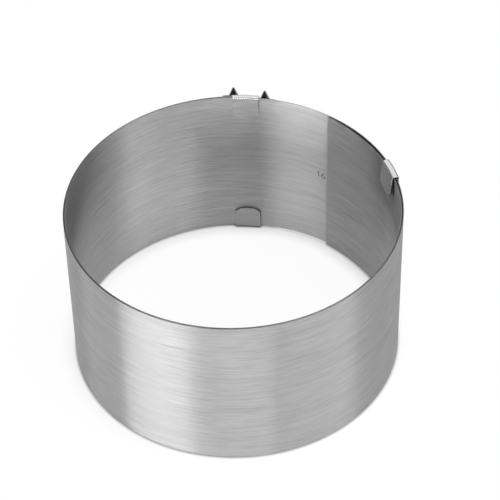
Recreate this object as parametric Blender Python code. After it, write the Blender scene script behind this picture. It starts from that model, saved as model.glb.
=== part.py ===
"""Adjustable cake ring in brushed stainless steel, standing on its base at its smallest size.

One springy strip is wound clockwise, seen from above, into almost two turns. A C-shaped clip on
its outer end slides on the inner turn, and a second C-shaped clip near its inner end guides the
outer turn. Two folded V grips at the back are pinched or pulled apart to set the diameter.

The strip bends everywhere at once, so it is built as a run of short rigid staves, joined end to
end on upright hinge lines in the middle of the sheet. Each stave is parented to its neighbour on
the side of the inner grip, with its origin on their hinge line: turning every stave alike by a
few degrees opens the ring. Lengths are in metres, +Z is up and +Y is straight back.
"""

import math

import bmesh
import bpy
from mathutils import Matrix, Vector

# The ring at its smallest setting.
SMALLEST_DIAMETER = 0.160
BAND_HEIGHT = 0.088

# The strip: its sheet, and the free gap between its two turns.
BAND_SHEET = 0.00035
LAYER_GAP = 0.0004

# Where the strip's two ends lie, as angles clockwise from straight back. It runs from the inner
# end clockwise to the outer end, once round and most of the way round again.
INNER_END_ANGLE = math.radians(37.0)
OUTER_END_ANGLE = math.radians(10.2)

# The free inner end springs out against the turn around it, so that the strip bows inwards just
# behind the end: how far, and over how much of a turn. The bow rises at once from the end and runs
# out smoothly, as share * (1 - share) ** 3 of its spread, a curve that is highest at this share.
INNER_END_BOW = 0.0009
BOW_SPREAD = math.radians(75.0)
BOW_PEAK_SHARE = 0.25

# How the strip is divided for bending.
STAVE_COUNT = 53
STAVE_FACETS = 4
HINGE_GAP = 0.0003

# Clearances: beside a piece that is fastened, beside one that slides, and over the band's edges.
SEAT_GAP = 0.0003
SLIDE_GAP = 0.0007
EDGE_GAP = 0.0003

# Both clips: bent from one sheet, with an arched tab folded over each edge of the band. The bends
# are measured on their inside, and are never wider than the band's square edges leave room for.
CLIP_SHEET = 0.0004
CLIP_WIDTH = 0.0137
CLIP_BEND_RADIUS = 0.0005
CLEAR_BEND_SHARE = 3.0
TAB_LENGTH = 0.0128
TAB_ARCH_RISE = 0.0022
CLIP_COLUMNS = 8
BEND_STEPS = 4

# The guide clip's middle, measured along the strip from the inner end.
GUIDE_CLIP_REACH = 0.0507

# Both grips: a V folded from one sheet, with one flat foot on the side away from the other grip.
# The fold at the tip is measured on its inside.
GRIP_SHEET = 0.0004
GRIP_WIDTH = 0.0047
GRIP_REACH = 0.0068
GRIP_FOOT = 0.0030
GRIP_TIP_RADIUS = 0.0002
GRIP_EDGE_INSET = 0.0003
FOOT_STEPS = 2
TIP_STEPS = 4

# The outer grip's middle, measured back along the strip from its outer end, on the end clip.
OUTER_GRIP_SETBACK = 0.0131
LANDING_MARGIN = 0.0002
LANDING_COLUMNS = 3

# Stainless steel, brushed along the strip and brighter on the bent parts.
BAND_COLOUR = (0.56, 0.56, 0.565, 1.0)
BAND_ROUGHNESS = 0.34
FITTING_COLOUR = (0.66, 0.66, 0.67, 1.0)
FITTING_ROUGHNESS = 0.24

# Bends sharper than this keep a crisp edge when the sheet is shaded smooth.
SHARP_ANGLE = math.radians(30.0)

FULL_TURN = 2.0 * math.pi
QUARTER_TURN = math.pi / 2.0
STRAIGHT_BACK = Vector((0.0, 1.0, 0.0))
LAYER_PITCH = BAND_SHEET + LAYER_GAP
TURN_GROWTH = LAYER_PITCH / FULL_TURN
FIRST_RADIUS = (SMALLEST_DIAMETER + BAND_SHEET) / 2.0
BAND_BOTTOM = EDGE_GAP + CLIP_SHEET
BAND_TOP = BAND_BOTTOM + BAND_HEIGHT


def inner_end_bow(turn):
    """How far the strip bows inwards at a turn, in radians on from the inner end."""
    if turn >= BOW_SPREAD:
        return 0.0
    share = turn / BOW_SPREAD
    peak = BOW_PEAK_SHARE * (1.0 - BOW_PEAK_SHARE) ** 3
    return INNER_END_BOW * share * (1.0 - share) ** 3 / peak


def band_radius(turn):
    """Radius of the sheet's middle at a turn."""
    return FIRST_RADIUS + TURN_GROWTH * turn - inner_end_bow(turn)


def turn_at(reach):
    """Turn at a distance along the strip from its inner end, as if it had no bow."""
    return (math.sqrt(FIRST_RADIUS ** 2 + 2.0 * TURN_GROWTH * reach) - FIRST_RADIUS) / TURN_GROWTH


def reach_at(turn):
    """Distance along the strip from its inner end to a turn, as if it had no bow."""
    return FIRST_RADIUS * turn + TURN_GROWTH * turn ** 2 / 2.0


def outward(turn):
    """Direction from the ring's axis at a turn, clockwise from above."""
    angle = INNER_END_ANGLE + turn
    return Vector((math.sin(angle), math.cos(angle), 0.0))


def ring_point(turn, radius, height=0.0):
    """Point at a turn, a radius from the ring's axis and a height."""
    return outward(turn) * radius + Vector((0.0, 0.0, height))


END_TURN = 2.0 * FULL_TURN + OUTER_END_ANGLE - INNER_END_ANGLE
BAND_LENGTH = reach_at(END_TURN)
STAVE_LENGTH = BAND_LENGTH / STAVE_COUNT
GUIDE_TURN = turn_at(GUIDE_CLIP_REACH)

# Where the guide clip's tabs meet the most of the bow: where they begin, if that is past its peak.
GUIDE_BOW_TURN = max(GUIDE_TURN - CLIP_WIDTH / 2.0 / FIRST_RADIUS, BOW_PEAK_SHARE * BOW_SPREAD)

# Radii of the strip's faces where a clip or a grip meets them.
OUTER_FACE_AT_END = band_radius(END_TURN) + BAND_SHEET / 2.0
INNER_FACE_AT_END = band_radius(END_TURN - FULL_TURN) - BAND_SHEET / 2.0
OUTER_FACE_AT_GUIDE = band_radius(GUIDE_TURN + FULL_TURN) + BAND_SHEET / 2.0
INNER_FACE_AT_GUIDE = band_radius(GUIDE_BOW_TURN) - BAND_SHEET / 2.0
OUTER_GRIP_SEAT = OUTER_FACE_AT_END + SEAT_GAP + CLIP_SHEET + SEAT_GAP
INNER_GRIP_SEAT = OUTER_FACE_AT_END - LAYER_PITCH + SEAT_GAP

# The end clip's plate runs on past its tabs, far enough to carry the outer grip and its foot.
LANDING_LENGTH = OUTER_GRIP_SETBACK + GRIP_WIDTH / 2.0 + GRIP_FOOT + LANDING_MARGIN - CLIP_WIDTH

# The inner grip's bare leg stands against the end clip's edge, the stop at the smallest setting.
OUTER_GRIP_TURN = END_TURN - OUTER_GRIP_SETBACK / OUTER_GRIP_SEAT
INNER_GRIP_TURN = END_TURN - FULL_TURN + (SEAT_GAP + GRIP_SHEET + GRIP_WIDTH / 2.0) / INNER_GRIP_SEAT
ROOT_STAVE = int(reach_at(INNER_GRIP_TURN) / STAVE_LENGTH)
GUIDE_STAVE = int(GUIDE_CLIP_REACH / STAVE_LENGTH)

# The grips stand out behind, so the ring's axis lies forward of the middle of the whole.
LEFT_REACH = band_radius(1.5 * math.pi - INNER_END_ANGLE + FULL_TURN) + BAND_SHEET / 2.0
RIGHT_REACH = band_radius(QUARTER_TURN - INNER_END_ANGLE + FULL_TURN) + BAND_SHEET / 2.0
FRONT_REACH = band_radius(math.pi - INNER_END_ANGLE + FULL_TURN) + BAND_SHEET / 2.0
BACK_REACH = OUTER_GRIP_SEAT + GRIP_REACH
RING_AXIS = Vector(((LEFT_REACH - RIGHT_REACH) / 2.0, (FRONT_REACH - BACK_REACH) / 2.0, 0.0))


def clear_scene():
    """Remove whatever the scene holds."""
    for old in list(bpy.data.objects):
        bpy.data.objects.remove(old, do_unlink=True)


def steel(name, colour, roughness):
    """Make a steel material for one kind of piece."""
    material = bpy.data.materials.new(name)
    material.use_nodes = True
    shader = material.node_tree.nodes["Principled BSDF"]
    shader.inputs["Base Color"].default_value = colour
    shader.inputs["Metallic"].default_value = 1.0
    shader.inputs["Roughness"].default_value = roughness
    return material


def frame_at(turn, radius):
    """Place on the ring at a turn, with X along the strip, Y outwards and Z up."""
    turned = Matrix.Rotation(-(INNER_END_ANGLE + turn), 4, "Z")
    return Matrix.Translation(RING_AXIS + ring_point(turn, radius)) @ turned


def cell_sides(row, column):
    """The four sides of a grid's cell: the neighbour across each, and the side's two corners."""
    here, along = (row, column), (row, column + 1)
    above, across = (row + 1, column), (row + 1, column + 1)
    return (
        ((row - 1, column), here, along),
        ((row, column + 1), along, across),
        ((row + 1, column), across, above),
        ((row, column - 1), above, here),
    )


def sheet_mesh(name, front, back, cells):
    """Close a bent sheet between two matching grids of points, over the cells that it has."""
    shape = bmesh.new()
    faces = [[[shape.verts.new(point) for point in row] for row in grid] for grid in (front, back)]
    for cell in sorted(cells):
        corners = [side[1] for side in cell_sides(*cell)]
        for grid in faces:
            shape.faces.new([grid[row][column] for row, column in corners])
        for neighbour, start, end in cell_sides(*cell):
            if neighbour not in cells:
                ends = (faces[0][start[0]][start[1]], faces[0][end[0]][end[1]])
                shape.faces.new(ends + (faces[1][end[0]][end[1]], faces[1][start[0]][start[1]]))
    unused = [vert for vert in shape.verts if not vert.link_faces]
    bmesh.ops.delete(shape, geom=unused, context="VERTS")
    bmesh.ops.recalc_face_normals(shape, faces=shape.faces[:])
    mesh = bpy.data.meshes.new(name)
    shape.to_mesh(mesh)
    shape.free()
    mesh.shade_smooth()
    mesh.set_sharp_from_angle(angle=SHARP_ANGLE)
    return mesh


def all_cells(grid):
    """Every cell of a grid of points."""
    return {(row, column) for row in range(len(grid) - 1) for column in range(len(grid[0]) - 1)}


def add_piece(name, place, front, back, cells, material, carrier=None):
    """Add a sheet-metal piece, with its origin at its place, parented to its carrier."""
    inverse = place.inverted()
    shift = Matrix.Translation(RING_AXIS)
    grids = [[[inverse @ shift @ point for point in row] for row in grid] for grid in (front, back)]
    mesh = sheet_mesh(name, grids[0], grids[1], cells)
    mesh.materials.append(material)
    piece = bpy.data.objects.new(name, mesh)
    bpy.context.scene.collection.objects.link(piece)
    piece.matrix_basis = place
    if carrier is not None:
        bpy.context.view_layer.update()
        piece.parent = carrier
        piece.matrix_basis = carrier.matrix_world.inverted() @ place
    return piece


def hinge_turn(index):
    """Turn of the hinge line before a stave, counted from the inner end."""
    return turn_at(index * STAVE_LENGTH)


def stave_grids(index):
    """Inner and outer faces of one stave, short of its hinge lines by half the hinge gap."""
    start, end = hinge_turn(index), hinge_turn(index + 1)
    if index > 0:
        start += HINGE_GAP / 2.0 / band_radius(start)
    if index < STAVE_COUNT - 1:
        end -= HINGE_GAP / 2.0 / band_radius(end)
    turns = [start + (end - start) * step / STAVE_FACETS for step in range(STAVE_FACETS + 1)]
    return [
        [[ring_point(turn, band_radius(turn) + offset, height) for turn in turns]
         for height in (BAND_BOTTOM, BAND_TOP)]
        for offset in (-BAND_SHEET / 2.0, BAND_SHEET / 2.0)
    ]


def add_stave(index, carrier, material):
    """Add a stave. One beyond the root turns about its own start, one before it about its end."""
    hinge = hinge_turn(index if index >= ROOT_STAVE else index + 1)
    inner, outer = stave_grids(index)
    place = frame_at(hinge, band_radius(hinge))
    name = f"band_{index + 1:02d}"
    return add_piece(name, place, inner, outer, all_cells(inner), material, carrier)


def add_band(material):
    """Add all the staves, outwards from the one that carries the inner grip."""
    staves = {ROOT_STAVE: add_stave(ROOT_STAVE, None, material)}
    for index in range(ROOT_STAVE + 1, STAVE_COUNT):
        staves[index] = add_stave(index, staves[index - 1], material)
    for index in range(ROOT_STAVE - 1, -1, -1):
        staves[index] = add_stave(index, staves[index + 1], material)
    return staves


def clip_section(tab_face, plate_face):
    """Middle of a clip's sheet from tab tip to tab tip, as radius, height and outward normal."""
    inside = min(CLIP_BEND_RADIUS, CLEAR_BEND_SHARE * min(EDGE_GAP, SEAT_GAP))
    bend = inside + CLIP_SHEET / 2.0
    tab = tab_face - CLIP_SHEET / 2.0
    plate = plate_face + CLIP_SHEET / 2.0
    bend_height = BAND_TOP + EDGE_GAP + CLIP_SHEET / 2.0 - bend
    upper = [(tab, BAND_TOP - TAB_LENGTH, -1.0, 0.0)]
    for centre, first in ((tab + bend, 2.0 * QUARTER_TURN), (plate - bend, QUARTER_TURN)):
        for step in range(BEND_STEPS + 1):
            angle = first - QUARTER_TURN * step / BEND_STEPS
            across, up = math.cos(angle), math.sin(angle)
            upper.append((centre + bend * across, bend_height + bend * up, across, up))
    lower = [(radius, BAND_BOTTOM + BAND_TOP - height, across, -up)
             for radius, height, across, up in reversed(upper)]
    return upper + lower


def tab_drop(across):
    """How far a tab's arched tip falls short of its full length, at a distance from its middle."""
    arch_radius = ((CLIP_WIDTH / 2.0) ** 2 + TAB_ARCH_RISE ** 2) / (2.0 * TAB_ARCH_RISE)
    return arch_radius - math.sqrt(arch_radius ** 2 - across ** 2)


def clip_grids(middle_turn, tab_face, plate_face, landing):
    """Outer and inner faces of a clip, with any landing beside its plate, and the cells it has."""
    section = clip_section(tab_face, plate_face)
    half = CLIP_WIDTH / 2.0
    spots = [CLIP_WIDTH * step / CLIP_COLUMNS - half for step in range(CLIP_COLUMNS + 1)]
    extra = LANDING_COLUMNS if landing > 0.0 else 0
    spots = [-half - landing * (extra - step) / LANDING_COLUMNS for step in range(extra)] + spots
    grids = []
    for side in (1.0, -1.0):
        grid = []
        for row, (radius, height, across, up) in enumerate(section):
            points = []
            for spot in spots:
                drop = tab_drop(max(spot, -half))
                tip = drop if row == 0 else -drop if row == len(section) - 1 else 0.0
                turn = middle_turn + spot / plate_face
                offset = side * CLIP_SHEET / 2.0
                points.append(ring_point(turn, radius + across * offset, height + tip + up * offset))
            grid.append(points)
        grids.append(grid)
    plate_row = len(section) // 2 - 1
    cells = {(row, column) for row, column in all_cells(grids[0]) if column >= extra or row == plate_row}
    return grids[0], grids[1], cells


def add_end_clip(carrier, material):
    """Add the clip that is fastened to the strip's outer end and slides on the inner turn."""
    middle = END_TURN - CLIP_WIDTH / 2.0 / OUTER_FACE_AT_END
    tab_face = INNER_FACE_AT_END - SLIDE_GAP
    plate_face = OUTER_FACE_AT_END + SEAT_GAP
    front, back, cells = clip_grids(middle, tab_face, plate_face, LANDING_LENGTH)
    place = frame_at(middle, plate_face)
    return add_piece("end_clip", place, front, back, cells, material, carrier)


def add_guide_clip(carrier, material):
    """Add the clip that is fastened near the strip's inner end and lets the outer turn slide."""
    tab_face = INNER_FACE_AT_GUIDE - SEAT_GAP
    plate_face = OUTER_FACE_AT_GUIDE + SLIDE_GAP
    front, back, cells = clip_grids(GUIDE_TURN, tab_face, plate_face, 0.0)
    place = frame_at(GUIDE_TURN, plate_face)
    return add_piece("guide_clip", place, front, back, cells, material, carrier)


def tangent_point(foot, centre, radius, side):
    """Where a straight leg from a foot touches the rounded tip, on the given side of it."""
    reach = centre - foot
    angle = side * math.asin(radius / reach.length)
    leg = Matrix.Rotation(angle, 3, "Z") @ reach.normalized()
    return foot + leg * math.sqrt(reach.length_squared - radius ** 2)


def grip_path(middle_turn, seat, foot_side):
    """Middle of a grip's sheet, seen from above: bare foot, V and flat foot, in order."""
    middle_radius = seat + GRIP_SHEET / 2.0
    half = GRIP_WIDTH / 2.0 / middle_radius
    left = ring_point(middle_turn - half, middle_radius)
    right = ring_point(middle_turn + half, middle_radius)
    fold = GRIP_TIP_RADIUS + GRIP_SHEET / 2.0
    tip = (left + right) / 2.0 + STRAIGHT_BACK * (GRIP_REACH - GRIP_SHEET - fold)
    rise = tangent_point(left, tip, fold, 1.0) - tip
    fall = tangent_point(right, tip, fold, -1.0) - tip
    sweep = rise.angle(fall)
    path = [left]
    for step in range(TIP_STEPS + 1):
        path.append(tip + Matrix.Rotation(-sweep * step / TIP_STEPS, 3, "Z") @ rise)
    path.append(right)
    foot_turn = middle_turn + foot_side * half
    foot = [ring_point(foot_turn + foot_side * GRIP_FOOT * step / FOOT_STEPS / middle_radius, middle_radius)
            for step in range(1, FOOT_STEPS + 1)]
    return path + foot if foot_side > 0.0 else foot[::-1] + path


def thickened(path, thickness):
    """Both faces of an upright sheet whose middle follows a path, mitred at its bends."""
    faces = ([], [])
    for index, point in enumerate(path):
        before = (point - path[index - 1]).normalized() if index > 0 else None
        after = (path[index + 1] - point).normalized() if index < len(path) - 1 else None
        first, second = before or after, after or before
        along = (first + second).normalized()
        normal = Vector((-along.y, along.x, 0.0)) / along.dot(first)
        faces[0].append(point + normal * thickness / 2.0)
        faces[1].append(point - normal * thickness / 2.0)
    return faces


def add_grip(name, middle_turn, seat, foot_side, carrier, material):
    """Add a V grip as tall as the band, standing straight back from its seat."""
    heights = (BAND_BOTTOM + GRIP_EDGE_INSET, BAND_TOP - GRIP_EDGE_INSET)
    grids = []
    for face in thickened(grip_path(middle_turn, seat, foot_side), GRIP_SHEET):
        grids.append([[point + Vector((0.0, 0.0, height)) for point in face] for height in heights])
    place = frame_at(middle_turn, seat)
    return add_piece(name, place, grids[0], grids[1], all_cells(grids[0]), material, carrier)


def main():
    """Build the cake ring."""
    clear_scene()
    band_steel = steel("brushed_stainless_strip", BAND_COLOUR, BAND_ROUGHNESS)
    clip_steel = steel("bent_stainless_clip", FITTING_COLOUR, FITTING_ROUGHNESS)
    grip_steel = steel("folded_stainless_grip", FITTING_COLOUR, FITTING_ROUGHNESS)
    staves = add_band(band_steel)
    add_guide_clip(staves[GUIDE_STAVE], clip_steel)
    end_clip = add_end_clip(staves[STAVE_COUNT - 1], clip_steel)
    add_grip("outer_grip", OUTER_GRIP_TURN, OUTER_GRIP_SEAT, -1.0, end_clip, grip_steel)
    add_grip("inner_grip", INNER_GRIP_TURN, INNER_GRIP_SEAT, 1.0, staves[ROOT_STAVE], grip_steel)


main()
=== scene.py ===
"""Adjustable cake ring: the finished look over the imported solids, in their frame, in metres."""

import logging
import math
from dataclasses import dataclass
from enum import Enum
from typing import Any

import bmesh
import bpy
from bpy.types import ID, Material, Mesh, Node, NodeOutputs, NodeSocket, NodeTree, Object
from mathutils import Matrix, Vector


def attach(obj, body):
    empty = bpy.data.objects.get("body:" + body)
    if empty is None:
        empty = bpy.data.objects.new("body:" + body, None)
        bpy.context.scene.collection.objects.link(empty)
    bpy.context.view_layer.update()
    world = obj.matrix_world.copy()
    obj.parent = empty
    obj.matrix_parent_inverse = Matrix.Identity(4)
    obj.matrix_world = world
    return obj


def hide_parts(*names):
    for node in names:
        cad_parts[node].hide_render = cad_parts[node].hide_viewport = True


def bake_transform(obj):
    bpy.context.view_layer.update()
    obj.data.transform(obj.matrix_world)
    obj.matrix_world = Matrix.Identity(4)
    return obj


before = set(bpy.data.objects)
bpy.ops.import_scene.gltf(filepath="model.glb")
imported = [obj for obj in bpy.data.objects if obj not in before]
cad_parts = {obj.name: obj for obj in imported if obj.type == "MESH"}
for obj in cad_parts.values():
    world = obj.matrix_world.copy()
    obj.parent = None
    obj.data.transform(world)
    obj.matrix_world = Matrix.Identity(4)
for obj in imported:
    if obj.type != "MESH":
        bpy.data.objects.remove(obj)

LOG = logging.getLogger("cake_ring")
MM = 0.001
CM = 10.0 * MM
FULL_TURN = 2.0 * math.pi
QUARTER_TURN = math.pi / 2.0
STRIP_MAP = "along_strip"
ARC_STEP = 15.0  # Degrees between the points of an arc.

Cell = tuple[int, int]
Grid = list[list[Vector]]


class SteelSlot(Enum):
    """Material slots of the record."""

    STRIP = "band_steel"
    CLIP = "clip_steel"
    GRIP = "grip_steel"


class FootSide(Enum):
    """Which way a grip's flat foot points, as a sign on the turn."""

    ANTICLOCKWISE = -1.0
    CLOCKWISE = 1.0


def linear_colour(code: str) -> tuple[float, float, float, float]:
    """Turn an sRGB hex code into a linear colour.

    Args:
        code: Six hex digits with a leading hash.

    Returns:
        Linear red, green, blue and an alpha of one.
    """
    levels = [int(code[place:place + 2], 16) / 255.0 for place in (1, 3, 5)]
    linear = [v / 12.92 if v <= 0.04045 else ((v + 0.055) / 1.055) ** 2.4 for v in levels]
    return (linear[0], linear[1], linear[2], 1.0)


def feed(node: Node, inputs: dict[str | int, Any]) -> None:
    """Feed a node's inputs.

    Args:
        node: Node to feed.
        inputs: Values by input name or number: a socket is linked, anything else is set.
    """
    for key, value in inputs.items():
        if isinstance(value, NodeSocket):
            node.id_data.links.new(value, node.inputs[key])
        else:
            node.inputs[key].default_value = value


def add_node(tree: NodeTree, kind: str, settings: dict[str, Any] | None = None,
             inputs: dict[str | int, Any] | None = None) -> NodeOutputs:
    """Add a node with its settings, and feed its inputs.

    Args:
        tree: Tree that gets the node.
        kind: Node type, such as "ShaderNodeMath".
        settings: The node's properties by name.
        inputs: Sockets and values by input name or number.

    Returns:
        The node's outputs, by name or number.
    """
    node = tree.nodes.new(kind)
    for name, value in (settings or {}).items():
        setattr(node, name, value)
    feed(node, inputs or {})
    return node.outputs


def new_material(name: str) -> tuple[Material, NodeTree, Node]:
    """Make a material with a bare Principled shader.

    Args:
        name: Name of the finish.

    Returns:
        The material, its tree and its shader node.
    """
    material = bpy.data.materials.new(name)
    material.use_nodes = True
    tree = material.node_tree
    return material, tree, tree.nodes["Principled BSDF"]


@dataclass(frozen=True)
class RingPlan:
    """How the strip is wound: the sizes that the solids were made from.

    The strip is wound clockwise, seen from above, from its inner end to its outer end. A turn is
    an angle in radians on from the inner end, and a reach is a distance along the strip from it.
    """

    smallest_diameter: float = 160.0 * MM
    band_height: float = 88.0 * MM
    band_sheet: float = 0.35 * MM
    layer_gap: float = 0.4 * MM
    inner_end_angle: float = math.radians(37.0)
    outer_end_angle: float = math.radians(10.2)
    inner_end_bow: float = 0.9 * MM
    bow_spread: float = math.radians(75.0)
    bow_peak_share: float = 0.25
    stave_count: int = 53
    seat_gap: float = 0.3 * MM
    slide_gap: float = 0.7 * MM
    edge_gap: float = 0.3 * MM
    clip_sheet: float = 0.4 * MM
    clip_width: float = 13.7 * MM
    guide_clip_reach: float = 50.7 * MM
    grip_sheet: float = 0.4 * MM
    grip_width: float = 4.7 * MM
    grip_reach: float = 6.8 * MM
    grip_foot: float = 3.0 * MM
    outer_grip_setback: float = 13.1 * MM
    landing_margin: float = 0.2 * MM

    @property
    def layer_pitch(self) -> float:
        """Distance from one turn's sheet to the next one's."""
        return self.band_sheet + self.layer_gap

    @property
    def turn_growth(self) -> float:
        """Growth of the radius per radian."""
        return self.layer_pitch / FULL_TURN

    @property
    def first_radius(self) -> float:
        """Radius of the sheet's middle at the inner end."""
        return (self.smallest_diameter + self.band_sheet) / 2.0

    @property
    def band_bottom(self) -> float:
        """Height of the strip's lower edge."""
        return self.edge_gap + self.clip_sheet

    @property
    def band_top(self) -> float:
        """Height of the strip's upper edge."""
        return self.band_bottom + self.band_height

    @property
    def end_turn(self) -> float:
        """Turn of the outer end."""
        return 2.0 * FULL_TURN + self.outer_end_angle - self.inner_end_angle

    @property
    def stave_length(self) -> float:
        """Length of one rigid stave."""
        return self.reach_at(self.end_turn) / self.stave_count

    @property
    def guide_turn(self) -> float:
        """Turn of the guide clip's middle."""
        return self.turn_at(self.guide_clip_reach)

    @property
    def guide_bow_turn(self) -> float:
        """Turn where the guide clip's tabs meet the most of the bow."""
        tab_start = self.guide_turn - self.clip_width / 2.0 / self.first_radius
        return max(tab_start, self.bow_peak_share * self.bow_spread)

    @property
    def bow_curve_peak(self) -> float:
        """Height of the bow's curve, share * (1 - share) ** 3, where it is highest."""
        return self.bow_peak_share * (1.0 - self.bow_peak_share) ** 3

    @property
    def outer_face_at_end(self) -> float:
        """Radius of the strip's outer face at the outer end."""
        return self.band_radius(self.end_turn) + self.band_sheet / 2.0

    @property
    def outer_grip_seat(self) -> float:
        """Radius of the outer grip's seat, on the end clip's landing."""
        return self.outer_face_at_end + 2.0 * self.seat_gap + self.clip_sheet

    @property
    def inner_grip_seat(self) -> float:
        """Radius of the inner grip's seat, on the inner turn."""
        return self.outer_face_at_end - self.layer_pitch + self.seat_gap

    @property
    def inner_grip_turn(self) -> float:
        """Turn of the inner grip's middle: its bare leg stands at the end clip's edge."""
        lead = self.seat_gap + self.grip_sheet + self.grip_width / 2.0
        return self.end_turn - FULL_TURN + lead / self.inner_grip_seat

    @property
    def axis(self) -> Vector:
        """Find the ring's axis, on the ground.

        Returns:
            Its place when the middle of the whole ring's box is at the origin.
        """
        half = self.band_sheet / 2.0
        left, right, front = (
            self.band_radius(angle - self.inner_end_angle + FULL_TURN) + half
            for angle in (3.0 * QUARTER_TURN, QUARTER_TURN, 2.0 * QUARTER_TURN))
        back = self.outer_grip_seat + self.grip_reach
        return Vector(((left - right) / 2.0, (front - back) / 2.0, 0.0))

    def band_radius(self, turn: float) -> float:
        """Give the radius of the sheet's middle.

        Args:
            turn: Where on the strip.

        Returns:
            The radius, less the bow beside the inner end.
        """
        bow = 0.0
        if turn < self.bow_spread:
            share = turn / self.bow_spread
            bow = self.inner_end_bow * share * (1.0 - share) ** 3 / self.bow_curve_peak
        return self.first_radius + self.turn_growth * turn - bow

    def turn_at(self, reach: float) -> float:
        """Turn at a reach."""
        root = math.sqrt(self.first_radius ** 2 + 2.0 * self.turn_growth * reach)
        return 2.0 * reach / (self.first_radius + root)

    def reach_at(self, turn: float) -> float:
        """Reach at a turn."""
        return self.first_radius * turn + self.turn_growth * turn ** 2 / 2.0

    def point(self, turn: float, radius: float, height: float = 0.0) -> Vector:
        """Point at a turn, a radius from the ring's axis and a height."""
        angle = self.inner_end_angle + turn
        return self.axis + Vector((radius * math.sin(angle), radius * math.cos(angle), height))

    def stave_at(self, turn: float) -> str:
        """Name of the body that carries the strip at a turn."""
        return f"stave_{int(self.reach_at(turn) / self.stave_length) + 1:02d}"


def drawn_noise(tree: NodeTree, length: float, width: float, detail: float = 2.0,
                roughness: float = 0.5) -> NodeSocket:
    """Make noise drawn out on the piece's own map, which is in metres along and across the grain.

    Args:
        tree: The material's tree.
        length: Length of the marks.
        width: Width of the marks.
        detail: How many finer layers the noise has.
        roughness: How strong the finer layers are.

    Returns:
        The noise, from 0 to 1.
    """
    place = add_node(tree, "ShaderNodeUVMap", {"uv_map": STRIP_MAP})[0]
    drawn = add_node(tree, "ShaderNodeMapping", inputs={
        "Vector": place, "Scale": (1.0 / length, 1.0 / width, 1.0)})[0]
    return add_node(tree, "ShaderNodeTexNoise", {"noise_dimensions": "2D"}, {
        "Vector": drawn, "Scale": 1.0, "Detail": detail, "Roughness": roughness})[0]


@dataclass(frozen=True)
class SteelFinish:
    """What the finishes share: a face whose colour goes to and fro between two by a pattern."""

    name: str
    colour: str
    worn_colour: str
    roughness: float
    metallic: float = 1.0

    def pattern(self, tree: NodeTree) -> NodeSocket:
        """Give the share of the worn colour over the face."""
        raise NotImplementedError

    def sheen(self, tree: NodeTree, worn: NodeSocket) -> dict[str, Any]:
        """Give the shader's inputs apart from its colour and metal."""
        return {"Roughness": self.roughness}

    def build(self) -> Material:
        """Make the material.

        Returns:
            The material, ready for a mesh.
        """
        material, tree, shader = new_material(self.name)
        worn = self.pattern(tree)
        colour = add_node(tree, "ShaderNodeMix", {"data_type": "RGBA"}, {
            0: worn, 6: linear_colour(self.colour), 7: linear_colour(self.worn_colour)})[2]
        feed(shader, {"Base Color": colour, "Metallic": self.metallic, **self.sheen(tree, worn)})
        return material


@dataclass(frozen=True)
class BrushedSteel(SteelFinish):
    """Cold-rolled stainless sheet with a long-grain brushed face.

    The brush lines run round the ring. Fine scratches, too thin to be seen one by one, tilt the
    face up and down but not sideways, so that a lamp draws out into an upright band with crisp
    sides. A layer of the grain is given as its length, width, detail and weight.
    """

    colour: str = "#9D9D9E"
    worn_colour: str = "#B5B5B6"
    roughness: float = 0.4
    roughness_swing: float = 0.03
    anisotropy: float = 1.0
    quarter_rotation: float = 0.25
    long_grain: tuple[float, ...] = (30.0 * MM, 0.42 * MM, 3.0, 1.0)
    short_grain: tuple[float, ...] = (12.0 * MM, 0.924 * MM, 2.0, 0.45)
    cloud: tuple[float, ...] = (70.0 * MM, 4.0 * MM, 2.0, 0.35)
    grain_roughness: float = 0.6
    dull_limit: float = 0.62
    worn_limit: float = 1.18
    scratch_length: float = 28.0 * MM
    scratch_width: float = 0.035 * MM
    scratch_slope: float = 1.45

    def pattern(self, tree: NodeTree) -> NodeSocket:
        """Add up the layers of the grain.

        Args:
            tree: The material's tree.

        Returns:
            The share of the worn colour over the face.
        """
        total = 0.0
        for length, width, detail, weight in (self.long_grain, self.short_grain, self.cloud):
            grain = drawn_noise(tree, length, width, detail, self.grain_roughness)
            total = add_node(tree, "ShaderNodeMath", {"operation": "MULTIPLY_ADD"}, {
                0: grain, 1: weight, 2: total})[0]
        return add_node(tree, "ShaderNodeMapRange", inputs={
            "Value": total, "From Min": self.dull_limit, "From Max": self.worn_limit})[0]

    def sheen(self, tree: NodeTree, worn: NodeSocket) -> dict[str, Any]:
        """Lay the grain along the map, and tilt the face across it from scratch to scratch.

        Args:
            tree: The material's tree.
            worn: Share of the worn colour, where the steel is a little smoother.

        Returns:
            The shader's inputs apart from its colour and metal.
        """
        rough = add_node(tree, "ShaderNodeMapRange", inputs={
            "Value": worn, "To Min": self.roughness + self.roughness_swing,
            "To Max": self.roughness - self.roughness_swing})[0]
        along = add_node(tree, "ShaderNodeTangent", {
            "direction_type": "UV_MAP", "uv_map": STRIP_MAP})[0]
        scratch = drawn_noise(tree, self.scratch_length, self.scratch_width, 0.0)
        slope = add_node(tree, "ShaderNodeMapRange", {"clamp": False}, {
            "Value": scratch, "To Min": -self.scratch_slope / 2.0,
            "To Max": self.scratch_slope / 2.0})[0]
        face = add_node(tree, "ShaderNodeNewGeometry")["Normal"]
        tilt = face
        for operation, inputs in (("CROSS_PRODUCT", {1: along}), ("SCALE", {"Scale": slope}),
                                  ("ADD", {1: face}), ("NORMALIZE", {})):
            tilt = add_node(tree, "ShaderNodeVectorMath", {"operation": operation}, {
                0: tilt, **inputs})[0]
        return {"Roughness": rough, "Normal": tilt, "Tangent": along,
                "Anisotropic": self.anisotropy, "Anisotropic Rotation": self.quarter_rotation}


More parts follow.
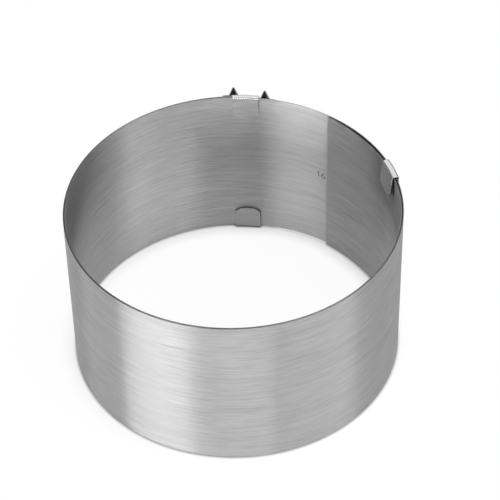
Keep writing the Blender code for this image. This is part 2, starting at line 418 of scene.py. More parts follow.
@dataclass(frozen=True)
class MarkedSteel(SteelFinish):
    """What bare steel without a grain shares: small marks drawn along the sheet."""

    mark_length: float = 9.0 * MM
    mark_width: float = 0.5 * MM

    def pattern(self, tree: NodeTree) -> NodeSocket:
        """Give the marks."""
        return drawn_noise(tree, self.mark_length, self.mark_width)


@dataclass(frozen=True)
class DrawnBend(MarkedSteel):
    """The clips' folds: smoother steel, painted lighter than the strip as a highlight along each
    bend.
    """

    name: str = "fold_steel_painted_highlight"
    # Lighter than the strip's steel: a painted highlight on the folds.
    colour: str = "#C6C6C7"
    worn_colour: str = "#BABABB"
    roughness: float = 0.26


@dataclass(frozen=True)
class CutEdge(MarkedSteel):
    """The strip's slit edge: dull steel, painted dark so that a thin line of painted shade runs
    along each rim.
    """

    name: str = "slit_edge_painted_rim_shade"
    # Darker than the strip's steel: painted shade along the rims.
    colour: str = "#6E6E70"
    worn_colour: str = "#8A8A8C"
    roughness: float = 0.5
    mark_length: float = 1.2 * MM
    mark_width: float = 0.15 * MM


@dataclass(frozen=True)
class EtchedMark(SteelFinish):
    """Electro-etched numbers: a dark matt oxide in the steel's face, thinner on the high grain."""

    name: str = "electro_etched_number"
    colour: str = "#3A393B"
    worn_colour: str = "#5C5B5D"
    roughness: float = 0.6
    metallic: float = 0.4
    mottle: float = 0.3 * MM

    def pattern(self, tree: NodeTree) -> NodeSocket:
        """Give the oxide's mottle, on Object coordinates."""
        place = add_node(tree, "ShaderNodeTexCoord")["Object"]
        return add_node(tree, "ShaderNodeTexNoise", inputs={
            "Vector": place, "Scale": 1.0 / self.mottle})[0]


def both_sides(path: list[Vector], thickness: float) -> tuple[list[Vector], list[Vector]]:
    """Offset a flat path to both sides, mitred at its bends.

    Args:
        path: Points of the path, in a level plane.
        thickness: Distance between the two sides.

    Returns:
        The left side and the right side, point for point.
    """
    left, right = [], []
    for place, point in enumerate(path):
        before = (point - path[place - 1]).normalized() if place > 0 else None
        after = (path[place + 1] - point).normalized() if place < len(path) - 1 else None
        first, second = before or after, after or before
        along = (first + second).normalized()
        normal = Vector((-along.y, along.x, 0.0)) / along.dot(first)
        left.append(point + normal * thickness / 2.0)
        right.append(point - normal * thickness / 2.0)
    return left, right


def add_object(name: str, data: ID) -> Object:
    """Link a mesh, a lamp or a camera into the scene as an object at the origin.

    Args:
        name: Name of the object.
        data: What it shows.

    Returns:
        The object.
    """
    piece = bpy.data.objects.new(name, data)
    bpy.context.scene.collection.objects.link(piece)
    return piece


def bake(piece: Object) -> None:
    """Make a piece's modifiers its plain mesh.

    Args:
        piece: Object whose modifiers are applied and removed.
    """
    bpy.context.view_layer.update()
    graph = bpy.context.evaluated_depsgraph_get()
    solid = bpy.data.meshes.new_from_object(piece.evaluated_get(graph), depsgraph=graph)
    raw = piece.data
    piece.modifiers.clear()
    piece.data = solid
    solid.name = piece.name
    bpy.data.meshes.remove(raw)


@dataclass
class Strip:
    """The long springy strip, as one skin for each hinge between its rigid staves.

    A skin runs from the middle of one stave to the middle of the next.
    """

    plan: RingPlan
    finish: BrushedSteel
    cut_finish: CutEdge
    steps: int = 28
    edge_radius: float = 0.08 * MM
    edge_steps: int = 2
    bend_share: float = 2.732
    slope_step: float = 0.001
    crisp_angle: float = math.radians(5.0)
    cut_face_rise: float = 0.5

    def winding_tree(self) -> tuple[NodeTree, dict[str, str]]:
        """Make the Geometry Nodes tree that sweeps the sheet's section along the winding.

        Returns:
            The tree, and its inputs' identifiers by name.
        """
        tree = bpy.data.node_groups.new("wound_strip", "GeometryNodeTree")
        wanted = dict.fromkeys((
            "From", "To", "First Radius", "Turn Growth", "Start Angle", "Bow Factor", "Bow Spread",
            "Axis X", "Axis Y", "Sheet", "Height", "Bottom", "Edge Radius", "Crisp Angle"),
            "NodeSocketFloat")
        wanted |= {"Steps": "NodeSocketInt", "Steel": "NodeSocketMaterial",
                   "Cut Steel": "NodeSocketMaterial"}
        names = {name: tree.interface.new_socket(name, in_out="INPUT", socket_type=kind).identifier
                 for name, kind in wanted.items()}
        tree.interface.new_socket("Geometry", in_out="OUTPUT", socket_type="NodeSocketGeometry")
        given = add_node(tree, "NodeGroupInput")
        values = {name: given[name] for name in wanted}
        values["Index"] = add_node(tree, "GeometryNodeInputIndex")[0]
        # The same winding as in RingPlan. Points lie closer together towards the skin's ends.
        for result, operation, *parts in (
            ("swing", "DIVIDE", "Index", "Steps"),
            ("swing", "MULTIPLY", "swing", math.pi),
            ("swing", "COSINE", "swing"),
            ("passed", "MULTIPLY_ADD", "swing", -0.5, 0.5),
            ("span", "SUBTRACT", "To", "From"),
            ("reach", "MULTIPLY_ADD", "passed", "span", "From"),
            ("square", "MULTIPLY", "First Radius", "First Radius"),
            ("twice", "MULTIPLY", "reach", 2.0),
            ("root", "MULTIPLY_ADD", "Turn Growth", "twice", "square"),
            ("root", "SQRT", "root"),
            ("root", "ADD", "First Radius", "root"),
            ("turn", "DIVIDE", "twice", "root"),
            ("share", "DIVIDE", "turn", "Bow Spread"),
            ("share", "MINIMUM", "share", 1.0),
            ("rest", "SUBTRACT", 1.0, "share"),
            ("rest", "POWER", "rest", 3.0),
            ("rise", "MULTIPLY", "share", "rest"),
            ("wound", "MULTIPLY_ADD", "Turn Growth", "turn", "First Radius"),
            ("radius", "MULTIPLY_ADD", "rise", "Bow Factor", "wound"),
            ("angle", "ADD", "Start Angle", "turn"),
            ("across", "SINE", "angle"),
            ("across", "MULTIPLY_ADD", "across", "radius", "Axis X"),
            ("back", "COSINE", "angle"),
            ("back", "MULTIPLY_ADD", "back", "radius", "Axis Y"),
            ("middle", "MULTIPLY_ADD", "Height", 0.5, "Bottom"),
            ("count", "ADD", "Steps", 1.0),
        ):
            inputs = {place: values.get(part, part) for place, part in enumerate(parts)}
            values[result] = add_node(tree, "ShaderNodeMath", {"operation": operation}, inputs)[0]
        spot = add_node(tree, "ShaderNodeCombineXYZ", inputs={
            0: values["across"], 1: values["back"], 2: values["middle"]})[0]
        section = add_node(tree, "GeometryNodeCurvePrimitiveQuadrilateral", inputs={
            "Width": given["Sheet"], "Height": given["Height"]})[0]
        section = add_node(tree, "GeometryNodeFilletCurve", {"mode": "POLY"}, {
            "Curve": section, "Radius": given["Edge Radius"], "Count": self.edge_steps})[0]
        along = add_node(tree, "GeometryNodeInputNamedAttribute", {"data_type": "FLOAT"}, {
            "Name": "reach"})[0]
        height, rise = (
            add_node(tree, "ShaderNodeSeparateXYZ", inputs={0: add_node(tree, kind)[0]})[2]
            for kind in ("GeometryNodeInputPosition", "GeometryNodeInputNormal"))
        rise = add_node(tree, "ShaderNodeMath", {"operation": "ABSOLUTE"}, {0: rise})[0]
        place = add_node(tree, "ShaderNodeCombineXYZ", inputs={0: along, 1: height})[0]
        bend = add_node(tree, "GeometryNodeInputMeshEdgeAngle")[0]
        crisp, cut = (
            add_node(tree, "FunctionNodeCompare", {"operation": "GREATER_THAN"}, {
                "A": measure, "B": limit})[0]
            for measure, limit in ((bend, given["Crisp Angle"]), (rise, self.cut_face_rise)))
        skin = add_node(tree, "GeometryNodeMeshLine", inputs={"Count": values["count"]})[0]
        for kind, settings, inputs in (
            ("GeometryNodeStoreNamedAttribute", {"data_type": "FLOAT", "domain": "POINT"},
             {"Name": "reach", "Value": values["reach"]}),
            ("GeometryNodeSetPosition", {}, {"Position": spot}),
            ("GeometryNodeMeshToCurve", {}, {}),
            ("GeometryNodeSetCurveNormal", {"mode": "Z_UP"}, {}),
            ("GeometryNodeCurveToMesh", {}, {"Profile Curve": section, "Fill Caps": True}),
            ("GeometryNodeStoreNamedAttribute", {"data_type": "FLOAT2", "domain": "CORNER"},
             {"Name": STRIP_MAP, "Value": place}),
            ("GeometryNodeSetShadeSmooth", {"domain": "EDGE"},
             {"Selection": crisp, "Shade Smooth": False}),
            ("GeometryNodeRealizeInstances", {}, {}),
            ("GeometryNodeSetMaterial", {}, {"Material": given["Steel"]}),
            # The level rims get the cut-edge steel, whose dark colour paints a shade line along
            # each rim.
            ("GeometryNodeSetMaterial", {}, {"Selection": cut, "Material": given["Cut Steel"]}),
        ):
            skin = add_node(tree, kind, settings, {0: skin, **inputs})[0]
        add_node(tree, "NodeGroupOutput", inputs={0: skin})
        return tree, names

    def skin(self, tree: NodeTree, names: dict[str, str],
             steels: tuple[Material, Material], hinge: int) -> Object:
        """Make the skin over one hinge, not yet tied to its bodies.

        Args:
            tree: The winding tree.
            names: The tree's input identifiers.
            steels: Materials of the strip's faces and of its cut edges.
            hinge: Number of the hinge, which follows the stave of the same number.

        Returns:
            The skin as a plain mesh.
        """
        plan = self.plan
        last = plan.stave_count - 1
        start = 0.0 if hinge == 1 else (hinge - 0.5) * plan.stave_length
        stop = plan.reach_at(plan.end_turn) if hinge == last else (hinge + 0.5) * plan.stave_length
        name = f"strip_{hinge:02d}"
        piece = add_object(name, bpy.data.meshes.new(name))
        winding = piece.modifiers.new("winding", "NODES")
        winding.node_group = tree
        for label, value in (
            ("From", start), ("To", stop), ("First Radius", plan.first_radius),
            ("Turn Growth", plan.turn_growth), ("Start Angle", plan.inner_end_angle),
            ("Bow Factor", -plan.inner_end_bow / plan.bow_curve_peak),
            ("Bow Spread", plan.bow_spread),
            ("Axis X", plan.axis.x), ("Axis Y", plan.axis.y), ("Sheet", plan.band_sheet),
            ("Height", plan.band_height), ("Bottom", plan.band_bottom),
            ("Edge Radius", self.edge_radius), ("Crisp Angle", self.crisp_angle),
            ("Steps", self.steps), ("Steel", steels[0]), ("Cut Steel", steels[1]),
        ):
            winding[names[label]] = value
        bake(piece)
        return piece

    def bend_with_hinge(self, piece: Object, hinge: int) -> None:
        """Bake a piece's place into its mesh; the slope at the hinge is worked out, but the piece
        is not bent.

        Args:
            piece: Piece that lies on the strip near the hinge.
            hinge: Number of the hinge.
        """
        plan = self.plan
        turn = plan.turn_at(hinge * plan.stave_length)
        middle = plan.point(turn, plan.band_radius(turn))
        step = self.slope_step
        along = (plan.point(turn + step, plan.band_radius(turn + step))
                 - plan.point(turn - step, plan.band_radius(turn - step))).normalized()
        half = along * self.bend_share * plan.stave_length / 2.0
        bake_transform(piece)

    def build(self) -> list[Object]:
        """Make every skin, in place of the rigid staves.

        Returns:
            The skins, from the inner end to the outer end.
        """
        tree, names = self.winding_tree()
        steels = (self.finish.build(), self.cut_finish.build())
        last = self.plan.stave_count - 1
        skins = []
        for hinge in range(1, last + 1):
            piece = self.skin(tree, names, steels, hinge)
            self.bend_with_hinge(piece, hinge)
            covered = [f"band_{hinge:02d}"] + ([f"band_{hinge + 1:02d}"] if hinge == last else [])
            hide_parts(*covered)
            skins.append(piece)
        return skins


def arc(centre: tuple[float, float], radii: tuple[float, float], start: float,
        stop: float) -> list[tuple[float, float]]:
    """Points on an ellipse's arc.

    Args:
        centre: Its centre.
        radii: Its half width and half height.
        start: First angle in degrees, anticlockwise from the right.
        stop: Last angle in degrees.

    Returns:
        Points about fifteen degrees apart.
    """
    steps = max(1, round(abs(stop - start) / ARC_STEP))
    angles = [math.radians(start + (stop - start) * step / steps) for step in range(steps + 1)]
    return [(centre[0] + radii[0] * math.cos(angle), centre[1] + radii[1] * math.sin(angle))
            for angle in angles]


# Strokes of the plain digits that the scale needs, in shares of a digit's height.
DIGIT_STROKES: dict[str, list[list[tuple[float, float]]]] = {
    "0": [arc((0.27, 0.5), (0.23, 0.46), 90.0, 450.0)],
    "1": [[(0.12, 0.76), (0.3, 0.96), (0.3, 0.04)]],
    "2": [arc((0.27, 0.71), (0.23, 0.25), 165.0, -35.0) + [(0.05, 0.04), (0.52, 0.04)]],
    "4": [[(0.38, 0.04), (0.38, 0.96), (0.03, 0.29), (0.53, 0.29)]],
    "6": [[(0.42, 0.96), (0.27, 0.85), (0.13, 0.66), (0.05, 0.45)]
          + arc((0.27, 0.28), (0.23, 0.24), 180.0, 525.0)],
    "8": [arc((0.27, 0.27), (0.23, 0.23), 90.0, 450.0),
          arc((0.27, 0.74), (0.19, 0.22), -90.0, 270.0)],
}


@dataclass
class ScaleMarks:
    """The diameters in centimetres, etched in the strip's inner face where the inner end points."""

    strip: Strip
    finish: EtchedMark
    diameters: tuple[int, ...] = (16, 18, 20, 22, 24, 26, 28)
    digit_height: float = 3.9 * MM
    digit_pitch: float = 2.8 * MM
    digit_stretch: float = 1.12
    stroke: float = 0.42 * MM
    lead: float = 1.0 * MM
    lift: float = 2.2 * MM
    depth: float = 0.012 * MM

    def lay_stroke(self, shape: bmesh.types.BMesh, stroke: list[Vector], left: float) -> None:
        """Lay one stroke on the strip's inner face as a thin closed ribbon.

        Args:
            shape: Mesh that gets the ribbon.
            stroke: Its middle line, in metres from the number's lower left corner.
            left: Reach of the number's left edge.
        """
        plan = self.strip.plan
        base = plan.band_bottom + plan.band_height / 2.0 + self.lift - self.digit_height / 2.0
        rings = []
        for pair in zip(*both_sides(stroke, self.stroke)):
            ring = []
            for spot, rise in ((pair[0], 0.0), (pair[1], 0.0), (pair[1], self.depth),
                               (pair[0], self.depth)):
                turn = plan.turn_at(left + spot.x)
                radius = plan.band_radius(turn) - plan.band_sheet / 2.0 - rise
                ring.append(shape.verts.new(plan.point(turn, radius, base + spot.y)))
            rings.append(ring)
        for before, after in zip(rings, rings[1:]):
            for side in range(4):
                other = (side + 1) % 4
                shape.faces.new((before[side], before[other], after[other], after[side]))
        shape.faces.new(rings[0])
        shape.faces.new(rings[-1])

    def number(self, diameter: int, ink: Material) -> Object:
        """Make one number and lay it on the strip.

        Args:
            diameter: The number, in centimetres.
            ink: Its material.

        Returns:
            The number.
        """
        plan = self.strip.plan
        around = math.pi * (diameter * CM + plan.band_sheet + plan.layer_pitch)
        text = str(diameter)
        width = self.digit_height * self.digit_stretch
        left = around - self.lead - self.digit_pitch * len(text)
        shape = bmesh.new()
        for place, digit in enumerate(text):
            for line in DIGIT_STROKES[digit]:
                stroke = [Vector((place * self.digit_pitch + x * width, y * self.digit_height, 0.0))
                          for x, y in line]
                self.lay_stroke(shape, stroke, left)
        bmesh.ops.recalc_face_normals(shape, faces=shape.faces[:])
        name = f"scale_number_{diameter}"
        mesh = bpy.data.meshes.new(name)
        shape.to_mesh(mesh)
        shape.free()
        mesh.materials.append(ink)
        piece = add_object(name, mesh)
        hinge = round((around - self.lead - self.digit_pitch) / plan.stave_length)
        self.strip.bend_with_hinge(piece, hinge)
        return piece

    def build(self) -> list[Object]:
        """Make every number."""
        ink = self.finish.build()
        return [self.number(diameter, ink) for diameter in self.diameters]


@dataclass
class BentPiece:
    """What the clips and grips share: a closed bent sheet with deburred edges."""

    plan: RingPlan
    steel: Material
    # Steel of the folds, painted lighter as a highlight.
    fold_steel: Material | None = None
    deburr: float = 0.05 * MM
    mitre_floor: float = 0.5
    crisp_angle: float = math.radians(20.0)

    def outline(self, grids: list[Grid], cells: set[Cell]
                ) -> tuple[list[tuple[Cell, Cell]], dict[Cell, Vector]]:
        """Find the sides of the sheet's outline, and the way out of the sheet at each corner.

        Args:
            grids: Points on the two faces.
            cells: Row and column of each cell that the sheet covers.

        Returns:
            Each side as its two corners, and each corner's outward step for a mitred offset.
        """
        middle = [[(one + other) / 2.0 for one, other in zip(*rows)] for rows in zip(*grids)]
        sides, ways = [], {}
        for row, column in sorted(cells):
            corners = ((row, column), (row, column + 1), (row + 1, column + 1), (row + 1, column))
            beside = ((row - 1, column), (row, column + 1), (row + 1, column), (row, column - 1))
            centre = sum((middle[y][x] for y, x in corners), Vector()) / len(corners)
            for side, neighbour in enumerate(beside):
                if neighbour in cells:
                    continue
                first, second = corners[side], corners[(side + 1) % 4]
                start, stop = middle[first[0]][first[1]], middle[second[0]][second[1]]
                along = (stop - start).normalized()
                out = (start + stop) / 2.0 - centre
                out = (out - along * out.dot(along)).normalized()
                sides.append((first, second))
                for corner in (first, second):
                    ways.setdefault(corner, []).append(out)
        steps = {}
        for corner, outs in ways.items():
            mean = sum(outs, Vector()).normalized()
            steps[corner] = mean / max(mean.dot(outs[0]), self.mitre_floor)
        return sides, steps

    def close_sheet(self, name: str, grids: list[Grid], cells: set[Cell],
                    flat: list[list[tuple[float, float]]], folds: set[int]) -> Object:
        """Close a sheet between two matching grids of points, with a chamfer round its outline.

        Args:
            name: Name of the piece.
            grids: Points on one face and the matching points on the other.
            cells: Row and column of each cell that the sheet covers.
            flat: Where each point of the grid lay in the sheet before it was bent, in metres.
            folds: Rows of cells on the bends, which get the fold steel with its painted highlight.

        Returns:
            The piece as a plain mesh.
        """
        shape = bmesh.new()
        faces = [[[shape.verts.new(point) for point in row] for row in grid] for grid in grids]
        places = {}
        for grid in faces:
            for row, spots in zip(grid, flat):
                places.update(zip(row, spots))
        for row, column in sorted(cells):
            for grid in faces:
                face = shape.faces.new((grid[row][column], grid[row][column + 1],
                                        grid[row + 1][column + 1], grid[row + 1][column]))
                # Cells on the bends take the fold steel with its painted highlight.
                face.material_index = 1 if row in folds else 0
        sides, steps = self.outline(grids, cells)
        walls = {}
        for (row, column), step in steps.items():
            front, back = faces[0][row][column], faces[1][row][column]
            through = (back.co - front.co).normalized() * self.deburr
            wall = [front, shape.verts.new(front.co + through + step * self.deburr),
                    shape.verts.new(back.co - through + step * self.deburr), back]
            places.update({vertex: places[front] for vertex in wall})
            walls[row, column] = wall
        for first, second in sides:
            one, other = walls[first], walls[second]
            for level in range(3):
                shape.faces.new((one[level], other[level], other[level + 1], one[level + 1]))
        layer = shape.loops.layers.uv.new(STRIP_MAP)
        for face in shape.faces:
            for corner in face.loops:
                corner[layer].uv = places[corner.vert]
        loose = [vertex for vertex in shape.verts if not vertex.link_faces]
        bmesh.ops.delete(shape, geom=loose, context="VERTS")
        bmesh.ops.recalc_face_normals(shape, faces=shape.faces[:])
        mesh = bpy.data.meshes.new(name)
        shape.to_mesh(mesh)
        shape.free()
        mesh.materials.append(self.steel)
        if folds:
            mesh.materials.append(self.fold_steel)
        mesh.shade_smooth()
        mesh.set_sharp_from_angle(angle=self.crisp_angle)
        return add_object(name, mesh)


@dataclass
class Clip(BentPiece):
    """A C of thin sheet over the strip, with an arched tab folded over each edge."""

    bend_radius: float = 0.5 * MM
    tab_length: float = 12.8 * MM
    arch_rise: float = 2.2 * MM
    corner_radius: float = 1.3 * MM
    corner_angles: tuple[float, ...] = (12.0, 24.0, 36.0, 48.0, 60.0, 72.5)
    bend_steps: int = 10
    columns: int = 16
    landing_columns: int = 4
    tab_rows: tuple[float, ...] = (1.0, 0.66, 0.33)
    support: float = 0.06 * MM
    fold_start: float = math.sin(math.radians(5.0))

    def section(self, tab_face: float, plate_face: float,
                lean: float) -> list[tuple[float, ...]]:
        """Lay out the middle of the sheet from the upper tab's tip to the lower tab's.

        Args:
            tab_face: Radius of the tabs' outer face.
            plate_face: Radius of the plate's inner face.
            lean: How far the tabs lean in from upright, in radians.

        Returns:
            Radius, height, outward normal and share of the tab's own length for each row.
        """
        plan = self.plan
        half = plan.clip_sheet / 2.0
        bend = self.bend_radius + half
        tab, plate = tab_face - half, plate_face + half
        top = plan.band_top + plan.edge_gap + half
        centre = top - bend
        folds = []
        for middle, start, stop in ((tab + bend, 2.0 * QUARTER_TURN - lean, QUARTER_TURN),
                                    (plate - bend, QUARTER_TURN, 0.0)):
            fold = []
            for step in range(self.bend_steps + 1):
                angle = start + (stop - start) * step / self.bend_steps
                across, up = math.cos(angle), math.sin(angle)
                fold.append((middle + bend * across, centre + bend * up, across, up, 0.0))
            folds.append(fold)
        radius, height, across, up, _ = folds[0][0]
        fall = self.tab_length - self.deburr - (plan.band_top - centre)
        rows = [(radius - math.sin(lean) * far, height - math.cos(lean) * far, across, up,
                 far / fall)
                for far in [fall * share for share in self.tab_rows] + [self.support]]
        rows += folds[0]
        rows.append((tab + bend + self.support, top, 0.0, 1.0, 0.0))
        rows.append((plate - bend - self.support, top, 0.0, 1.0, 0.0))
        rows += folds[1]
        rows.append((plate, centre - self.support, 1.0, 0.0, 0.0))
        total = plan.band_bottom + plan.band_top
        mirrored = [(radius, total - height, across, -up, -share)
                    for radius, height, across, up, share in reversed(rows)]
        return rows + mirrored

    def tip_drop(self, across: float) -> float:
        """Give how far a tab's tip falls short of its full length.

        Args:
            across: Distance from the tab's middle.

        Returns:
            What the arch and the rounded corner take away there.
        """
        half = self.plan.clip_width / 2.0 - self.deburr
        arch = (half ** 2 + self.arch_rise ** 2) / (2.0 * self.arch_rise)
        drop = arch - math.sqrt(arch ** 2 - across ** 2)
        past = abs(across) - (half - self.corner_radius)
        if past > 0.0:
            drop += self.corner_radius - math.sqrt(max(self.corner_radius ** 2 - past ** 2, 0.0))
        return drop

    def build(self, name: str, middle_turn: float, tab_face: float, plate_face: float,
              landing: float, lean: float, body: str) -> Object:
        """Make a clip in place of its solid.

        Args:
            name: Name of the clip, the same as its solid's.
            middle_turn: Turn of its middle.
            tab_face: Radius of the tabs' outer face.
            plate_face: Radius of the plate's inner face.
            landing: How far the plate runs on beside the tabs.
            lean: How far the tabs lean in, in radians.
            body: Body that it rides on.

        Returns:
            The clip.
        """
        plan = self.plan
        rows = self.section(tab_face, plate_face, lean)
        half = plan.clip_width / 2.0 - self.deburr
        inner = half - self.corner_radius
        right = [inner + self.corner_radius * math.sin(math.radians(angle))
                 for angle in self.corner_angles] + [half]
        spots = [-spot for spot in reversed(right)]
        spots += [inner * (2.0 * step / self.columns - 1.0)
                  for step in range(self.columns + 1)] + right
        extra = self.landing_columns if landing > 0.0 else 0
        spots = [-half - landing * (extra - step) / extra for step in range(extra)] + spots
        grids = []
        for side in (1.0, -1.0):
            grid = []
            for radius, height, across, up, share in rows:
                offset = side * plan.clip_sheet / 2.0
                points = []
                for spot in spots:
                    tip = self.tip_drop(max(spot, -half)) * share
                    turn = middle_turn + spot / plate_face
                    inwards = abs(tip) * math.tan(lean)
                    points.append(plan.point(turn, radius + inwards + across * offset,
                                             height + tip + up * offset))
                grid.append(points)
            grids.append(grid)
        plate_row = len(rows) // 2 - 1
        cells = {(row, column) for row in range(len(rows) - 1) for column in range(len(spots) - 1)
                 if column >= extra or row == plate_row}
        lengths = [0.0]
        for before, after in zip(rows, rows[1:]):
            lengths.append(lengths[-1] + math.dist(before[:2], after[:2]))
        flat = [[(spot, length + self.tip_drop(max(spot, -half)) * row[-1]) for spot in spots]
                for row, length in zip(rows, lengths)]
        # Rows on the bends, which get the painted highlight.
        folds = {row for row, (here, after) in enumerate(zip(rows, rows[1:]))
                 if abs(here[3]) > self.fold_start and abs(after[3]) > self.fold_start}
        piece = self.close_sheet(name + "_sheet", grids, cells, flat, folds)
        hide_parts(name)
        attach(piece, body)
        return piece


@dataclass
class Grip(BentPiece):
    """A V folded from sheet as tall as the strip, standing straight back, with one flat foot."""

    tip_radius: float = 0.2 * MM
    foot_radius: float = 0.25 * MM
    edge_inset: float = 0.3 * MM
    tip_steps: int = 12
    corner_steps: int = 8
    support: float = 0.05 * MM

    def round_corner(self, before: Vector, corner: Vector, after: Vector, radius: float,
                     steps: int) -> list[Vector]:
        """Round a corner of a path.

        Args:
            before: Point before the corner.
            corner: The corner.
            after: Point after it.
            radius: Radius of the bend's middle.
            steps: Number of steps round the bend.

        Returns:
            Points round the bend, with one close by on each straight side.
        """
        back, ahead = (before - corner).normalized(), (after - corner).normalized()
        opening = back.angle(ahead)
        reach = radius / math.tan(opening / 2.0)
        centre = corner + (back + ahead).normalized() * radius / math.sin(opening / 2.0)
        first, last = corner + back * reach, corner + ahead * reach
        sweep = (first - centre).angle(last - centre)
        side = 1.0 if (first - centre).cross(last - centre).z > 0.0 else -1.0
        bend = [centre + Matrix.Rotation(side * sweep * step / steps, 3, "Z") @ (first - centre)
                for step in range(steps + 1)]
        return [first + back * self.support] + bend + [last + ahead * self.support]

    def path(self, middle_turn: float, seat: float, foot: FootSide) -> list[Vector]:
        """Lay out the middle of the sheet, seen from above, in order of turn.

        Args:
            middle_turn: Turn of the V's middle.
            seat: Radius of what it sits on.
            foot: Side of the flat foot.

        Returns:
            Points from one end of the sheet to the other.
        """
        plan = self.plan
        radius = seat + plan.grip_sheet / 2.0
        half = plan.grip_width / 2.0 / radius
        bare = plan.point(middle_turn - foot.value * half, radius)
        heel = plan.point(middle_turn + foot.value * half, radius)
        toe = plan.point(middle_turn + foot.value * (half + plan.grip_foot / radius), radius)
        fold = self.tip_radius + plan.grip_sheet / 2.0
        middle = (bare + heel) / 2.0
        lift = plan.grip_reach - plan.grip_sheet - fold
        tip = middle + Vector((0.0, lift, 0.0))
        spread = (heel - bare).length / 2.0
        slant = math.asin(fold / math.hypot(spread, lift)) + math.atan2(spread, lift)
        peak = tip + Vector((0.0, fold / math.sin(slant), 0.0))
        points = [bare]
        points += self.round_corner(bare, peak, heel, fold, self.tip_steps)
        points += self.round_corner(peak, heel, toe, self.foot_radius + plan.grip_sheet / 2.0,
                                    self.corner_steps)
        points.append(toe)
        return points if foot is FootSide.CLOCKWISE else points[::-1]

    def build(self, name: str, middle_turn: float, seat: float, foot: FootSide,
              body: str) -> Object:
        """Make a grip in place of its solid.

        Args:
            name: Name of the grip, the same as its solid's.
            middle_turn: Turn of the V's middle.
            seat: Radius of what it sits on.
            foot: Side of the flat foot.
            body: Body that it rides on.

        Returns:
            The grip.
        """
        plan = self.plan
        path = self.path(middle_turn, seat, foot)
        inset = self.edge_inset + self.deburr
        heights = (plan.band_bottom + inset, plan.band_top - inset)
        grids = [[[spot + Vector((0.0, 0.0, height)) for spot in side] for height in heights]
                 for side in both_sides(path, plan.grip_sheet)]
        cells = {(0, column) for column in range(len(path) - 1)}
        lengths = [0.0]
        for before, after in zip(path, path[1:]):
            lengths.append(lengths[-1] + (after - before).length)
        flat = [[(length, height) for length in lengths] for height in heights]
        piece = self.close_sheet(name + "_sheet", grids, cells, flat, set())
        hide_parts(name)
        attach(piece, body)
        return piece


@dataclass(frozen=True)
class Softbox:
    """A large soft lamp, aimed at the ring's middle. Its bearing and elevation are in degrees."""

    name: str
    bearing: float
    elevation: float
    distance: float
    width: float
    height: float
    brightness: float

    def build(self, aim: Vector) -> Object:
        """Add the lamp.

        Args:
            aim: Point that it faces.

        Returns:
            The lamp.
        """
        lamp = bpy.data.lights.new(self.name, "AREA")
        lamp.shape = "RECTANGLE"
        lamp.size = self.width
        lamp.size_y = self.height
        lamp.energy = self.brightness * math.pi * self.width * self.height
        bearing, elevation = math.radians(self.bearing), math.radians(self.elevation)
        away = Vector((math.sin(bearing) * math.cos(elevation),
                       math.cos(bearing) * math.cos(elevation), math.sin(elevation)))
        holder = add_object(self.name, lamp)
        holder.location = aim + away * self.distance
        holder.rotation_euler = away.to_track_quat("Z", "Y").to_euler()
        return holder


